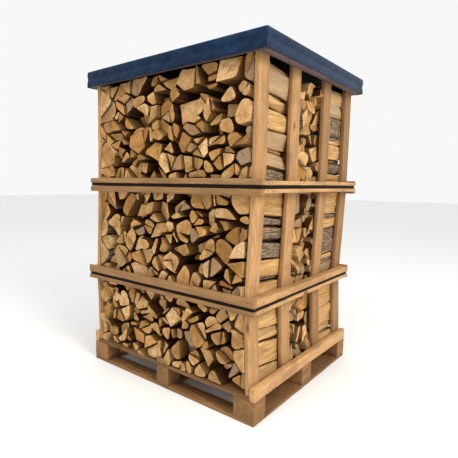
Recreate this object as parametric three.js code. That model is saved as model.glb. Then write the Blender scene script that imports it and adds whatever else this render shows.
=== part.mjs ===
// A crate of split firewood: three timber tiers stacked on a pallet, filled with
// logs in three rows, and closed by a flat lid under dark plastic film.
// Millimetres, +Z up. X runs along the front, and the front looks towards -Y.
// The origin is on the floor, under the middle of the crate.

import * as THREE from "three";

// Overall sizes, over the outer faces of the rails
const WIDTH = 1200;
const DEPTH = 1150;
const TOUCH_GAP = 0.3; // left between pieces that rest against each other

// Pallet
const BASE_INSET = 15; // from the outer face of the rails
const BOTTOM_BOARD = { thickness: 16, width: 100 };
const BLOCK = { cornerLength: 115, middleLength: 84, cornerDepth: 104, middleDepth: 114, height: 100 };
const BLOCK_ROWS = ["front", "middle", "back"];
const BLOCK_COLUMNS = ["left", "centre", "right"];
const DECK = { boards: 4, thickness: 18, gap: 37 };
const BEAM = { thickness: 30, height: 66 };

// Tiers, from the deck up
const TIER_JOINTS = [554, 1106]; // heights where one tier stands on the next
const POST = { thickness: 22, width: 92, secondFromFront: 338, clearance: 3, top: 1742.7 };
const RAIL = { frontThickness: 22, sideThickness: 45 };
const RAIL_GAP = 17; // between the two rings of rails at a joint, filled by a dark strip
const STRIP_INSET = 5; // from the outer face of the rails
const RINGS = [
  { name: "tier_1_top_rails", joint: 0, upward: -1, frontHeight: 22, sideHeight: 18 },
  { name: "tier_2_bottom_rails", joint: 0, upward: 1, frontHeight: 42, sideHeight: 34 },
  { name: "tier_2_top_rails", joint: 1, upward: -1, frontHeight: 33, sideHeight: 19 },
  { name: "tier_3_bottom_rails", joint: 1, upward: 1, frontHeight: 29, sideHeight: 20 },
];
const TOP_RING = { bottom: 1679, height: 31 };
const STACK_SHIFT = [0, -21, 0, 0]; // along X at the deck, at each joint and at the top

// Firewood, one solid for each row of logs in each tier
const ROW_EDGE = 200; // from the middle to where the front and back rows begin
const STACK_TOP = 1672;
const STACK_ROWS = ["front", "middle", "back"];

// Lid
const PANEL_THICKNESS = 20;
const FILM = { clearance: 4, skirt: 7, top: 3.7, height: 89 };

const pine = { color: 0xd9a763, roughness: 0.72, metalness: 0 };
const weatheredPine = { color: 0xa98a62, roughness: 0.85, metalness: 0 };
const splitLogs = { color: 0xc09058, roughness: 0.9, metalness: 0 };
const facedPanel = { color: 0x1b1f2a, roughness: 0.6, metalness: 0 };
const darkFilm = { color: 0x161c2b, roughness: 0.38, metalness: 0 };

const crate = new THREE.Group();

function addMesh(name, geometry, finish) {
  const mesh = new THREE.Mesh(geometry, new THREE.MeshStandardMaterial(finish));
  mesh.name = name;
  crate.add(mesh);
  return mesh;
}

// A square-edged piece between two heights, from its low and high corners in plan.
// It is moved along X by one distance at its foot and another at its top.
function addBoard(name, finish, [x0, x1], [y0, y1], [z0, z1], [footShift, topShift] = [0, 0]) {
  const geometry = new THREE.BoxGeometry(x1 - x0, y1 - y0, z1 - z0);
  const lean = (topShift - footShift) / (z1 - z0);
  geometry.applyMatrix4(new THREE.Matrix4().makeShear(0, 0, 0, 0, lean, 0));
  const mesh = addMesh(name, geometry, finish);
  mesh.position.set((x0 + x1 + footShift + topShift) / 2, (y0 + y1) / 2, (z0 + z1) / 2);
}

// A solid made of the cells of a grid for which filled(x, y, z) holds at the middle
function addGridSolid(name, finish, grid, filled) {
  const [xs, ys, zs] = grid;
  const middle = (line, i) => (line[i] + line[i + 1]) / 2;
  const inside = (i, j, k) => {
    const known = [i, j, k].every((n, axis) => n >= 0 && n < grid[axis].length - 1);
    return known && filled(middle(xs, i), middle(ys, j), middle(zs, k));
  };
  const corner = (i, j, k) => (k * ys.length + j) * xs.length + i;
  const points = zs.flatMap((z) => ys.flatMap((y) => xs.flatMap((x) => [x, y, z])));
  const faces = [];
  for (let k = 0; k < zs.length - 1; k += 1) {
    for (let j = 0; j < ys.length - 1; j += 1) {
      for (let i = 0; i < xs.length - 1; i += 1) {
        if (!inside(i, j, k)) continue;
        const quad = (a, b, c, d) => faces.push(a, b, c, a, c, d);
        const at = (di, dj, dk) => corner(i + di, j + dj, k + dk);
        if (!inside(i - 1, j, k)) quad(at(0, 0, 0), at(0, 0, 1), at(0, 1, 1), at(0, 1, 0));
        if (!inside(i + 1, j, k)) quad(at(1, 0, 0), at(1, 1, 0), at(1, 1, 1), at(1, 0, 1));
        if (!inside(i, j - 1, k)) quad(at(0, 0, 0), at(1, 0, 0), at(1, 0, 1), at(0, 0, 1));
        if (!inside(i, j + 1, k)) quad(at(0, 1, 0), at(0, 1, 1), at(1, 1, 1), at(1, 1, 0));
        if (!inside(i, j, k - 1)) quad(at(0, 0, 0), at(0, 1, 0), at(1, 1, 0), at(1, 0, 0));
        if (!inside(i, j, k + 1)) quad(at(0, 0, 1), at(1, 0, 1), at(1, 1, 1), at(0, 1, 1));
      }
    }
  }
  const geometry = new THREE.BufferGeometry();
  geometry.setAttribute("position", new THREE.Float32BufferAttribute(points, 3));
  geometry.setIndex(faces);
  return addMesh(name, geometry, finish);
}

const halfWidth = WIDTH / 2;
const halfDepth = DEPTH / 2;
const baseHalfWidth = halfWidth - BASE_INSET;
const baseHalfDepth = halfDepth - BASE_INSET;
const blockBottom = BOTTOM_BOARD.thickness + TOUCH_GAP;
const blockTop = blockBottom + BLOCK.height;
const deckBottom = blockTop + TOUCH_GAP;
const deckTop = deckBottom + DECK.thickness;

function addBottomBoards() {
  const heights = [0, BOTTOM_BOARD.thickness];
  const crossInner = baseHalfDepth - BOTTOM_BOARD.width;
  const runEnd = crossInner - TOUCH_GAP;
  const columnCentre = baseHalfWidth - BOTTOM_BOARD.width / 2;
  const halfBoard = BOTTOM_BOARD.width / 2;
  addBoard("bottom_board_front", weatheredPine, [-baseHalfWidth, baseHalfWidth], [-baseHalfDepth, -crossInner], heights);
  addBoard("bottom_board_back", weatheredPine, [-baseHalfWidth, baseHalfWidth], [crossInner, baseHalfDepth], heights);
  BLOCK_COLUMNS.forEach((column, i) => {
    const x = (i - 1) * columnCentre;
    addBoard(`bottom_board_${column}`, weatheredPine, [x - halfBoard, x + halfBoard], [-runEnd, runEnd], heights);
  });
}

// The span of a block along one side of the pallet: 0 and 2 stand at the ends, 1 in the middle
function blockSpan(place, half, endLength, middleLength) {
  if (place === 0) return [-half, -half + endLength];
  if (place === 2) return [half - endLength, half];
  return [-middleLength / 2, middleLength / 2];
}

function addBlocks() {
  BLOCK_ROWS.forEach((row, j) => {
    BLOCK_COLUMNS.forEach((column, i) => {
      const x = blockSpan(i, baseHalfWidth, BLOCK.cornerLength, BLOCK.middleLength);
      const y = blockSpan(j, baseHalfDepth, BLOCK.cornerDepth, BLOCK.middleDepth);
      addBoard(`block_${row}_${column}`, weatheredPine, x, y, [blockBottom, blockTop]);
    });
  });
}

function addDeckAndBeams() {
  const beamInner = baseHalfWidth - BEAM.thickness;
  const deckHalf = beamInner - TOUCH_GAP;
  const boardWidth = (2 * baseHalfDepth - (DECK.boards - 1) * DECK.gap) / DECK.boards;
  for (let i = 0; i < DECK.boards; i += 1) {
    const y = -baseHalfDepth + i * (boardWidth + DECK.gap);
    addBoard(`deck_board_${i + 1}`, weatheredPine, [-deckHalf, deckHalf], [y, y + boardWidth], [deckBottom, deckTop]);
  }
  const heights = [deckBottom, deckBottom + BEAM.height];
  addBoard("side_beam_left", pine, [-baseHalfWidth, -beamInner], [-baseHalfDepth, baseHalfDepth], heights);
  addBoard("side_beam_right", pine, [beamInner, baseHalfWidth], [-baseHalfDepth, baseHalfDepth], heights);
}

const railInnerX = halfWidth - RAIL.sideThickness;
const railInnerY = halfDepth - RAIL.frontThickness;

// Four rails nailed at the corners: thin ones across the front and back, thick ones on the sides.
// A ring above a joint carries the dark strip that fills the gap under it.
function addRing({ name, joint, upward, frontHeight, sideHeight }) {
  const outerX = [halfWidth, halfWidth - STRIP_INSET];
  const outerY = [halfDepth, halfDepth - STRIP_INSET];
  const mirrored = (values) => [...values.map((v) => -v), ...values.reverse()];
  const strip = upward > 0 ? [-RAIL_GAP + TOUCH_GAP] : [];
  const levels = [...new Set([...strip, 0, upward * sideHeight, upward * frontHeight])].sort((a, b) => a - b);
  const grid = [mirrored([...outerX, railInnerX]), mirrored([...outerY, railInnerY]), levels];
  const ring = addGridSolid(name, pine, grid, (x, y, z) => {
    const front = Math.abs(y) > railInnerY;
    const side = Math.abs(x) > railInnerX;
    if (!front && !side) return false;
    if (z * upward < 0) return Math.abs(x) < outerX[1] && Math.abs(y) < outerY[1];
    return z * upward < (front ? frontHeight : sideHeight);
  });
  ring.position.set(STACK_SHIFT[joint + 1], 0, TIER_JOINTS[joint] + (upward * RAIL_GAP) / 2);
}

function addTopRing() {
  const grid = [
    [-halfWidth, -railInnerX, railInnerX, halfWidth],
    [-halfDepth, -railInnerY, railInnerY, halfDepth],
    [TOP_RING.bottom, TOP_RING.bottom + TOP_RING.height],
  ];
  addGridSolid("tier_3_top_rails", pine, grid, (x, y) => Math.abs(x) > railInnerX || Math.abs(y) > railInnerY);
}

const tierHeights = [
  [deckTop + TOUCH_GAP, TIER_JOINTS[0] - TOUCH_GAP / 2],
  [TIER_JOINTS[0] + TOUCH_GAP / 2, TIER_JOINTS[1] - TOUCH_GAP / 2],
  [TIER_JOINTS[1] + TOUCH_GAP / 2, POST.top],
];
const tierShift = (tier) => [STACK_SHIFT[tier], STACK_SHIFT[tier + 1]];

function addPosts() {
  const outer = railInnerX - POST.clearance;
  const inner = outer - POST.thickness;
  const frontMost = -railInnerY + TOUCH_GAP;
  const second = -halfDepth + POST.secondFromFront;
  const starts = [frontMost, second, -second - POST.width, -frontMost - POST.width];
  tierHeights.forEach((heights, tier) => {
    starts.forEach((y, i) => {
      const ySpan = [y, y + POST.width];
      const shift = tierShift(tier);
      addBoard(`tier_${tier + 1}_post_left_${i + 1}`, pine, [-outer, -inner], ySpan, heights, shift);
      addBoard(`tier_${tier + 1}_post_right_${i + 1}`, pine, [inner, outer], ySpan, heights, shift);
    });
  });
}

function addFirewood() {
  const halfX = railInnerX - POST.clearance - POST.thickness - TOUCH_GAP;
  const outerY = railInnerY - TOUCH_GAP;
  const endRow = ROW_EDGE + TOUCH_GAP;
  const spans = [[-outerY, -endRow], [-ROW_EDGE, ROW_EDGE], [endRow, outerY]];
  tierHeights.forEach(([bottom, top], tier) => {
    const heights = [bottom, Math.min(top, STACK_TOP)];
    STACK_ROWS.forEach((row, j) => {
      const name = `tier_${tier + 1}_firewood_${row}`;
      addBoard(name, splitLogs, [-halfX, halfX], spans[j], heights, tierShift(tier));
    });
  });
}

// The film is a shallow cap: a flat top on the panel, and a skirt down over the top rails
function addLid() {
  const panelBottom = POST.top + TOUCH_GAP;
  const panelTop = panelBottom + PANEL_THICKNESS;
  addBoard("lid_panel", facedPanel, [-halfWidth, halfWidth], [-halfDepth, halfDepth], [panelBottom, panelTop]);

  const filmTop = panelTop + TOUCH_GAP + FILM.top;
  const innerX = halfWidth + FILM.clearance;
  const innerY = halfDepth + FILM.clearance;
  const outerX = innerX + FILM.skirt;
  const outerY = innerY + FILM.skirt;
  const ceiling = FILM.height - FILM.top;
  const corners = [];
  const ring = (x, y, z) => corners.push([-x, -y, z], [x, -y, z], [x, y, z], [-x, y, z]);
  ring(outerX, outerY, 0);
  ring(outerX, outerY, FILM.height);
  ring(innerX, innerY, 0);
  ring(innerX, innerY, ceiling);
  const faces = [];
  const quad = (a, b, c, d) => faces.push(a, b, c, a, c, d);
  for (let i = 0; i < 4; i += 1) {
    const next = (i + 1) % 4;
    quad(i, next, 4 + next, 4 + i); // outside of the skirt
    quad(8 + next, 8 + i, 12 + i, 12 + next); // inside of the skirt
    quad(next, i, 8 + i, 8 + next); // lower edge
  }
  quad(4, 5, 6, 7); // top
  quad(15, 14, 13, 12); // ceiling, facing down
  const geometry = new THREE.BufferGeometry();
  geometry.setAttribute("position", new THREE.Float32BufferAttribute(corners.flat(), 3));
  geometry.setIndex(faces);
  addMesh("lid_film", geometry, darkFilm).position.z = filmTop - FILM.height;
}

addBottomBoards();
addBlocks();
addDeckAndBeams();
RINGS.forEach(addRing);
addTopRing();
addPosts();
addFirewood();
addLid();

export default crate;
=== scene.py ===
"""A crate of split firewood: timber tiers on a pallet, packed with logs, under a film-wrapped lid.

Every length is in metres. X runs along the front, Y into the depth and Z up.
"""
import math

import bpy
import numpy as np
from mathutils import Matrix, Vector


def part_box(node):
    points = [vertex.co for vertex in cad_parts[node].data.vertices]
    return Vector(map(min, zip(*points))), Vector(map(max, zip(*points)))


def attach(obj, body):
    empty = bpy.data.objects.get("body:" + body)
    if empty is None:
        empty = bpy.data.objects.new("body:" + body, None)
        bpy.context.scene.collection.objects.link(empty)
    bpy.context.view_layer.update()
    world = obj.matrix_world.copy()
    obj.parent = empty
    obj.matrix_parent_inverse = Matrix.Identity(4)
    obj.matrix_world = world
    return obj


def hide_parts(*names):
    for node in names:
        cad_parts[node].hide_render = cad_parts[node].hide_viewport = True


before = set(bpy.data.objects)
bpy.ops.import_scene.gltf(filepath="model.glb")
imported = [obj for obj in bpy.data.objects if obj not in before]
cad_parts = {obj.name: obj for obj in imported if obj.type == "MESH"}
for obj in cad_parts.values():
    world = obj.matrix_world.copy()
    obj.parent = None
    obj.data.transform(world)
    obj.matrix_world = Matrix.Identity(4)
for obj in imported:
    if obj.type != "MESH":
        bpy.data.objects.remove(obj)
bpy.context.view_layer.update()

bl_info = {
    "name": "Firewood crate",
    "version": (1, 0, 0),
    "blender": (4, 5, 0),
    "location": "3D View > Sidebar > Firewood crate",
    "description": "Builds a timber crate of split firewood around its packed frame",
    "category": "Object",
}

BODY = "root"
TIERS = (1, 2, 3)
BLOCK_ROWS = ("front", "middle", "back")
STACK_SHIFT = (0, -0.021, 0, 0)  # to the side, at the deck, at each joint and at the top
SIDES = {"left": -1, "right": 1}
SMOOTH_BELOW = math.radians(38)  # edges sharper than this stay crisp


# ---------------------------------------------------------------- settings


def colour_setting(name, description, default):
    return bpy.props.FloatVectorProperty(
        name=name, description=description, subtype="COLOR", default=default, min=0, max=1)


def length_setting(name, description, default, least, most):
    return bpy.props.FloatProperty(
        name=name, description=description, subtype="DISTANCE", default=default, min=least, max=most)


def power_setting(name, description, default):
    return bpy.props.FloatProperty(
        name=name, description=description, subtype="POWER", default=default, min=0, max=2000)


class TimberSettings(bpy.types.PropertyGroup):
    """Sawn timber of the tiers and the pallet."""

    pine: colour_setting("Pine", "Fresh sawn pine of posts, rails and beams", (0.58, 0.345, 0.145))
    pine_dark: colour_setting("Pine rings", "Late wood and resin in the pine", (0.3, 0.135, 0.042))
    pallet: colour_setting("Pallet wood", "Weathered wood of blocks and boards", (0.42, 0.22, 0.075))
    pallet_dark: colour_setting("Pallet rings", "Late wood and dirt in the pallet wood", (0.15, 0.06, 0.018))
    edge: length_setting("Edge wear", "Size of the worn edges of a board", 0.0024, 0.0005, 0.006)
    bow: length_setting("Bow", "How far a board bends along its length", 0.0016, 0, 0.005)
    nail: length_setting("Nail head", "Radius of a nail head", 0.0028, 0.002, 0.008)


class FirewoodSettings(bpy.types.PropertyGroup):
    """Split logs and how they are stacked."""

    round_size: length_setting("Round size", "Width of a round before it is split", 0.096, 0.07, 0.2)
    gap: length_setting("Gap", "Least space left around a log", 0.0026, 0.0005, 0.01)
    uneven: length_setting("Uneven ends", "How far log ends stand in or out", 0.008, 0, 0.03)
    pale: colour_setting("Pale end", "Palest end grain", (0.82, 0.58, 0.31))
    heart: colour_setting("Heartwood", "Orange heartwood", (0.58, 0.28, 0.068))
    aged: colour_setting("Aged end", "Grey end grain of a log that has stood outside", (0.34, 0.24, 0.155))
    split: colour_setting("Split face", "Freshly split face along the grain", (0.72, 0.45, 0.19))
    bark: colour_setting("Bark", "Dry bark", (0.21, 0.14, 0.085))
    lichen: colour_setting("Lichen", "Lichen on the bark", (0.34, 0.31, 0.21))


class LidSettings(bpy.types.PropertyGroup):
    """Lid panel and the film stretched over it, and the strips in the joints, which are as dark."""

    film: colour_setting("Film", "Colour of the plastic film", (0.003, 0.0155, 0.044))
    thickness: length_setting("Thickness", "Thickness of the film, with its folds", 0.0012, 0.0003, 0.004)
    wrinkle: length_setting("Wrinkles", "Depth of the wrinkles in the skirt", 0.0022, 0, 0.006)
    panel: colour_setting("Panel", "Dark facing of the lid panel", (0.006, 0.009, 0.016))
    # the joint strip is a dark strip, and its near-black colour also paints the deep shade of the recess
    strip: colour_setting("Joint strip", "Dark strip in the joints between tiers", (0.006, 0.004, 0.003))


class StageSettings(bpy.types.PropertyGroup):
    """Floor, light and camera."""

    floor: colour_setting("Floor", "Colour of the floor", (0.87, 0.87, 0.86))
    sky: bpy.props.FloatProperty(
        name="Surrounding light", description="Strength of the even light from all round",
        default=0.94, min=0, max=3)
    key: power_setting("Key light", "Power of the large light on the right", 215.0)
    overhead: power_setting("Overhead light", "Power of the light high in front", 62.0)
    lens: bpy.props.FloatProperty(
        name="Lens", description="Focal length on a 36 mm sensor, in millimetres",
        default=32.97, min=10, max=200)


# ------------------------------------------------------------ material nodes


class Nodes:
    """The nodes of one new material. What goes into a node is a socket or a plain value."""

    def __init__(self, name):
        self.material = bpy.data.materials.new(name)
        self.material.use_nodes = True
        self.tree = self.material.node_tree
        self.tree.nodes.clear()
        self.shader = self.add("ShaderNodeBsdfPrincipled")
        self.add("ShaderNodeOutputMaterial", {"Surface": self.shader.outputs["BSDF"]})

    def add(self, kind, inputs=None, **settings):
        node = self.tree.nodes.new(kind)
        for key, value in settings.items():
            setattr(node, key, value)
        self.fill(node, inputs or {})
        return node

    def fill(self, node, inputs):
        for key, value in inputs.items():
            if isinstance(value, bpy.types.NodeSocket):
                self.tree.links.new(value, node.inputs[key])
            else:
                node.inputs[key].default_value = value

    def attribute(self, name, output="Vector"):
        return self.add("ShaderNodeAttribute", attribute_name=name).outputs[output]

    def position(self):
        return self.add("ShaderNodeNewGeometry").outputs["Position"]

    def parts(self, vector):
        return self.add("ShaderNodeSeparateXYZ", {0: vector}).outputs

    def math(self, operation, a, b=0.0):
        return self.add("ShaderNodeMath", {0: a, 1: b}, operation=operation).outputs[0]

    def plus(self, a, b):
        return self.math("ADD", a, b)

    def minus(self, a, b):
        return self.math("SUBTRACT", a, b)

    def times(self, a, b):
        return self.math("MULTIPLY", a, b)

    def distance(self, x, y):
        return self.math("SQRT", self.plus(self.math("POWER", x, 2.0), self.math("POWER", y, 2.0)))

    def stretched(self, vector, stretch):
        """The same coordinates, finer or coarser along each axis."""
        if stretch is None:
            return vector
        return self.add("ShaderNodeVectorMath", {0: vector, 1: stretch}, operation="MULTIPLY").outputs[0]

    def noise(self, vector, stretch=None, detail=3.0, roughness=0.55, scale=1.0):
        inputs = {"Vector": self.stretched(vector, stretch), "Scale": scale, "Detail": detail,
                  "Roughness": roughness}
        return self.add("ShaderNodeTexNoise", inputs).outputs["Fac"]

    def voronoi(self, vector, stretch=None, scale=1.0, randomness=1.0, feature="DISTANCE_TO_EDGE"):
        inputs = {"Vector": self.stretched(vector, stretch), "Scale": scale, "Randomness": randomness}
        return self.add("ShaderNodeTexVoronoi", inputs, feature=feature).outputs

    def band(self, value, low, high, out_low=0.0, out_high=1.0):
        """value from low..high to out_low..out_high, held at both ends."""
        inputs = {"Value": value, "From Min": low, "From Max": high, "To Min": out_low, "To Max": out_high}
        return self.add("ShaderNodeMapRange", inputs).outputs["Result"]

    def mix(self, share, a, b, blend="MIX"):
        """Colour a, turning into b as share goes from 0 to 1."""
        inputs = {0: share}
        for index, colour in ((6, a), (7, b)):
            plain = not isinstance(colour, bpy.types.NodeSocket)
            inputs[index] = (*colour[:3], 1.0) if plain else colour
        return self.add("ShaderNodeMix", inputs, data_type="RGBA", blend_type=blend).outputs[2]

    def bump(self, height, strength, distance):
        inputs = {"Height": height, "Strength": strength, "Distance": distance}
        return self.add("ShaderNodeBump", inputs).outputs["Normal"]

    def shade(self, colour, roughness, normal=None, specular=0.5, metallic=0.0):
        """Fills in the shader's own sockets."""
        inputs = {"Base Color": colour, "Roughness": roughness, "Specular IOR Level": specular,
                  "Metallic": metallic}
        if normal is not None:
            inputs["Normal"] = normal
        self.fill(self.shader, inputs)


def finish(name, make, *values):
    """The material of this name, which is made when it is first asked for."""
    material = bpy.data.materials.get(name)
    if material is None:
        nodes = Nodes(name)
        make(nodes, *values)
        material = nodes.material
    return material


def scaled(colour, share):
    return [share * c for c in colour]


# ---------------------------------------------------------------- materials

BOARD_RING, LOG_RING = 0.0052, 0.0037  # from one growth ring to the next
GREY_FROM = 0.88  # logs aged more than this have gone grey
PAINTED_SHADE_SEED = 0.5, 0.51  # logs with a seed below this get a painted shade on their split faces and bark; logs above it keep their own colours


def ring_lines(n, distance, spacing):
    """Growth rings: a slow rise and a sharp drop every spacing, from 0 to 1."""
    turns = n.math("FRACT", n.math("DIVIDE", distance, spacing))
    return n.times(n.band(turns, 0.25, 0.86), n.band(turns, 0.86, 1.0, 1.0, 0.0))


def sawn_timber(n, pale, dark, grime, grime_share, ring_strength):
    """Sawn softwood: rings round a pith, fibres, knots, saw marks and dirt. Tone 0 is a dark board."""
    grain = n.attribute("grain")
    _, across, through = n.parts(grain)
    knots = n.voronoi(grain, (4.0, 9.0, 9.0), randomness=0.9, feature="F1")
    picked = n.add("ShaderNodeSeparateColor", {0: knots["Color"]}).outputs[0]
    knot = n.times(n.band(knots["Distance"], 0.07, 0.15, 1.0, 0.0), n.band(picked, 0.5, 0.52))
    swirl = n.band(knots["Distance"], 0.05, 0.4, 0.006, 0.0)
    wobble = n.noise(grain, (1.6, 9.0, 9.0), detail=2.0)
    radius = n.plus(n.plus(n.distance(across, through), n.times(wobble, 0.02)), swirl)
    rings = ring_lines(n, radius, BOARD_RING)
    fibre = n.noise(grain, (7.0, 330.0, 330.0), detail=4.0, roughness=0.65)
    streak = n.noise(grain, (2.2, 46.0, 46.0))
    blotch = n.noise(grain, (5.0, 11.0, 11.0), detail=4.0, roughness=0.6)
    streaky = [0.5 * p + 0.5 * d for p, d in zip(pale, dark)]
    colour = n.mix(n.band(streak, 0.36, 0.66), pale, streaky)
    colour = n.mix(n.times(rings, ring_strength), colour, dark)
    colour = n.mix(n.band(fibre, 0.42, 0.68, 0.0, 0.75), colour, dark)
    shade = n.mix(n.attribute("tone", "Fac"), (0.62, 0.6, 0.58), (1.32, 1.36, 1.45))
    colour = n.mix(1.0, colour, shade, "MULTIPLY")
    colour = n.mix(n.times(n.band(blotch, 0.46, 0.78), grime_share), colour, grime)
    colour = n.mix(n.times(knot, 0.85), colour, (0.1, 0.037, 0.012))
    marks = n.noise(grain, (420.0, 14.0, 14.0), detail=2.0)
    relief = n.plus(n.plus(n.times(fibre, 0.7), n.times(marks, 0.3)), n.times(rings, 0.25))
    n.shade(colour, n.band(fibre, 0.2, 0.8, 0.62, 0.88), n.bump(relief, 0.55, 0.0012), 0.32)


def pine_finish():
    s = bpy.context.scene.crate_timber
    return finish("sawn_pine", sawn_timber, s.pine, s.pine_dark, (0.17, 0.09, 0.04), 0.75, 0.6)


def pallet_finish():
    s = bpy.context.scene.crate_timber
    return finish("weathered_pallet", sawn_timber, s.pallet, s.pallet_dark, (0.105, 0.062, 0.03), 0.7, 0.6)


def lid_shade_finish():
    """Pine darkened to a cool grey: painted shade for the underside of the top ring of rails, which lies in
    the shade of the lid.
    """
    grey = scaled(bpy.context.scene.crate_timber.pine, 0.3)
    grey[1:] = [1.15 * grey[1], 2.5 * grey[2]]
    return finish("lid_shade_pine", sawn_timber, grey, scaled(grey, 0.5), (0.06, 0.045, 0.045), 0.7, 0.4)


def dark_facing(n, colour, roughness):
    """Dull dark facing with scuffs and dust."""
    scuff = n.noise(n.position(), (30.0, 30.0, 60.0), detail=5.0, roughness=0.7)
    scuffed = n.mix(n.band(scuff, 0.5, 0.8, 0.0, 0.6), colour, scaled(colour, 2.6))
    rough = n.band(scuff, 0.2, 0.8, roughness - 0.12, roughness + 0.12)
    n.shade(scuffed, rough, n.bump(scuff, 0.4, 0.002), 0.15)


def end_grain(n):
    """Sawn end of a log: rings and drying cracks round the pith, heartwood, age and saw marks."""
    s = bpy.context.scene.crate_firewood
    ring = n.attribute("ring")
    aged, orange, seed = n.parts(n.attribute("tone"))
    x, y, _ = n.parts(ring)
    distance = n.distance(x, y)
    wobble = n.noise(ring, (26.0, 26.0, 26.0))
    radial = n.noise(ring, (170.0, 60.0, 170.0), detail=4.0, roughness=0.7)
    bent = n.plus(distance, n.times(wobble, 0.012))
    rings = ring_lines(n, bent, LOG_RING)
    turned = {0: n.times(n.math("ARCTAN2", y, x), 2.3), 1: n.times(seed, 40.0), 2: n.times(distance, 9.0)}
    spoke = n.add("ShaderNodeCombineXYZ", turned).outputs[0]
    crack = n.band(n.voronoi(spoke, scale=1.5)["Distance"], 0.004, 0.024, 1.0, 0.0)
    crack = n.times(crack, n.band(n.noise(spoke, scale=1.1), 0.52, 0.6))
    blotch = n.noise(ring, (34.0, 34.0, 34.0), detail=4.0, roughness=0.62)
    fuzz = n.noise(ring, (620.0, 190.0, 300.0), roughness=0.7)
    colour = n.mix(orange, s.pale, s.heart)
    inner = n.band(n.plus(bent, n.times(orange, -0.02)), 0.012, 0.046, 1.0, 0.0)
    colour = n.mix(n.times(inner, 0.62), colour, scaled(s.heart, 0.62))
    colour = n.mix(n.band(blotch, 0.36, 0.72, 0.0, 0.8), colour, scaled(s.heart, 0.6))
    worn = n.mix(n.band(aged, 0.1, 0.75), (1.27, 1.27, 1.3), (0.75, 0.69, 0.62))
    colour = n.mix(1.0, colour, worn, "MULTIPLY")
    colour = n.mix(n.band(aged, GREY_FROM, 0.97), colour, s.aged)
    colour = n.mix(n.times(rings, 0.34), colour, scaled(s.heart, 0.4))
    colour = n.mix(n.band(radial, 0.46, 0.68, 0.0, 0.6), colour, scaled(s.heart, 0.34))
    colour = n.mix(n.band(fuzz, 0.35, 0.7, 0.22, 0.0), colour, scaled(s.heart, 0.5))
    colour = n.mix(n.times(crack, 0.9), colour, (0.03, 0.014, 0.006))
    relief = n.plus(n.minus(n.times(fuzz, 0.5), n.times(crack, 1.4)), n.times(rings, 0.2))
    n.shade(colour, n.band(fuzz, 0.2, 0.8, 0.8, 0.95), n.bump(relief, 0.7, 0.0018), 0.2)


def split_face(n):
    """Face split along the grain: long torn fibres, pale and golden streaks, and painted shade on logs deep
    in the stack.
    """
    s = bpy.context.scene.crate_firewood
    ring = n.attribute("ring")
    aged, orange, seed = n.parts(n.attribute("tone"))
    fibre = n.noise(ring, (210.0, 210.0, 7.0), detail=5.0, roughness=0.68)
    strand = n.noise(ring, (52.0, 52.0, 3.2))
    blotch = n.noise(ring, (16.0, 16.0, 9.0), detail=4.0)
    colour = n.mix(n.band(strand, 0.36, 0.64), s.split, scaled(s.split, 0.5))
    colour = n.mix(n.times(orange, 0.6), colour, s.heart)
    colour = n.mix(n.band(fibre, 0.44, 0.66, 0.0, 0.75), colour, scaled(s.heart, 0.36))
    colour = n.mix(n.band(blotch, 0.56, 0.8, 0.0, 0.4), colour, scaled(s.heart, 0.5))
    colour = n.mix(n.band(aged, GREY_FROM, 1.0, 0.0, 0.8), colour, s.aged)
    # painted shade: the split faces of logs deep in the stack go dark brown
    colour = n.mix(n.band(seed, *PAINTED_SHADE_SEED), scaled(s.heart, 0.3), colour)
    relief = n.plus(n.times(fibre, 0.6), n.times(strand, 0.9))
    n.shade(colour, n.band(fibre, 0.2, 0.8, 0.66, 0.9), n.bump(relief, 0.9, 0.005), 0.3)


def dry_bark(n):
    """Rough dry bark with furrows along the log and pale lichen, and painted shade on logs deep in the
    stack.
    """
    s = bpy.context.scene.crate_firewood
    ring = n.attribute("ring")
    _, orange, seed = n.parts(n.attribute("tone"))
    furrow = n.noise(ring, (120.0, 120.0, 14.0), detail=5.0, roughness=0.65)
    plates = n.voronoi(ring, (105.0, 105.0, 13.0))["Distance"]
    groove = n.band(plates, 0.0, 0.16, 1.0, 0.0)
    patch = n.noise(ring, (48.0, 48.0, 30.0), detail=5.0, roughness=0.7)
    grown = n.times(n.band(patch, 0.52, 0.66), n.band(seed, 0.5, 0.9))
    colour = n.mix(n.band(furrow, 0.3, 0.7), scaled(s.bark, 0.5), scaled(s.bark, 1.9))
    colour = n.mix(n.times(orange, 0.4), colour, (0.2, 0.1, 0.05))
    colour = n.mix(n.times(groove, 0.6), colour, (0.022, 0.013, 0.008))
    colour = n.mix(n.times(grown, 0.7), colour, s.lichen)
    # painted shade: the bark of logs deep in the stack goes almost black
    colour = n.mix(n.band(seed, *PAINTED_SHADE_SEED), (0.06, 0.019, 0.005), colour)
    relief = n.minus(furrow, n.times(groove, 0.8))
    n.shade(colour, 0.93, n.bump(relief, 0.9, 0.005), 0.2)


def plastic_film(n):
    """Dark plastic film: blue-black, softly glossy, with dust and fine creases."""
    s = bpy.context.scene.crate_lid
    place = n.position()
    crease = n.noise(place, (9.0, 9.0, 30.0), detail=5.0, roughness=0.6)
    fine = n.noise(place, (60.0, 60.0, 110.0))
    dust = n.noise(place, (14.0, 14.0, 26.0), detail=6.0, roughness=0.75)
    cloud = n.noise(place, (4.5, 4.5, 16.0))
    dusty = [2.1 * c + 0.007 for c in s.film]
    colour = n.mix(n.band(cloud, 0.35, 0.62), scaled(s.film, 0.55), s.film)
    colour = n.mix(n.band(dust, 0.42, 0.72, 0.0, 0.7), colour, dusty)
    relief = n.plus(crease, n.times(fine, 0.2))
    n.shade(colour, n.band(dust, 0.3, 0.75, 0.26, 0.5), n.bump(relief, 0.5, 0.006), 0.12)


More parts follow.
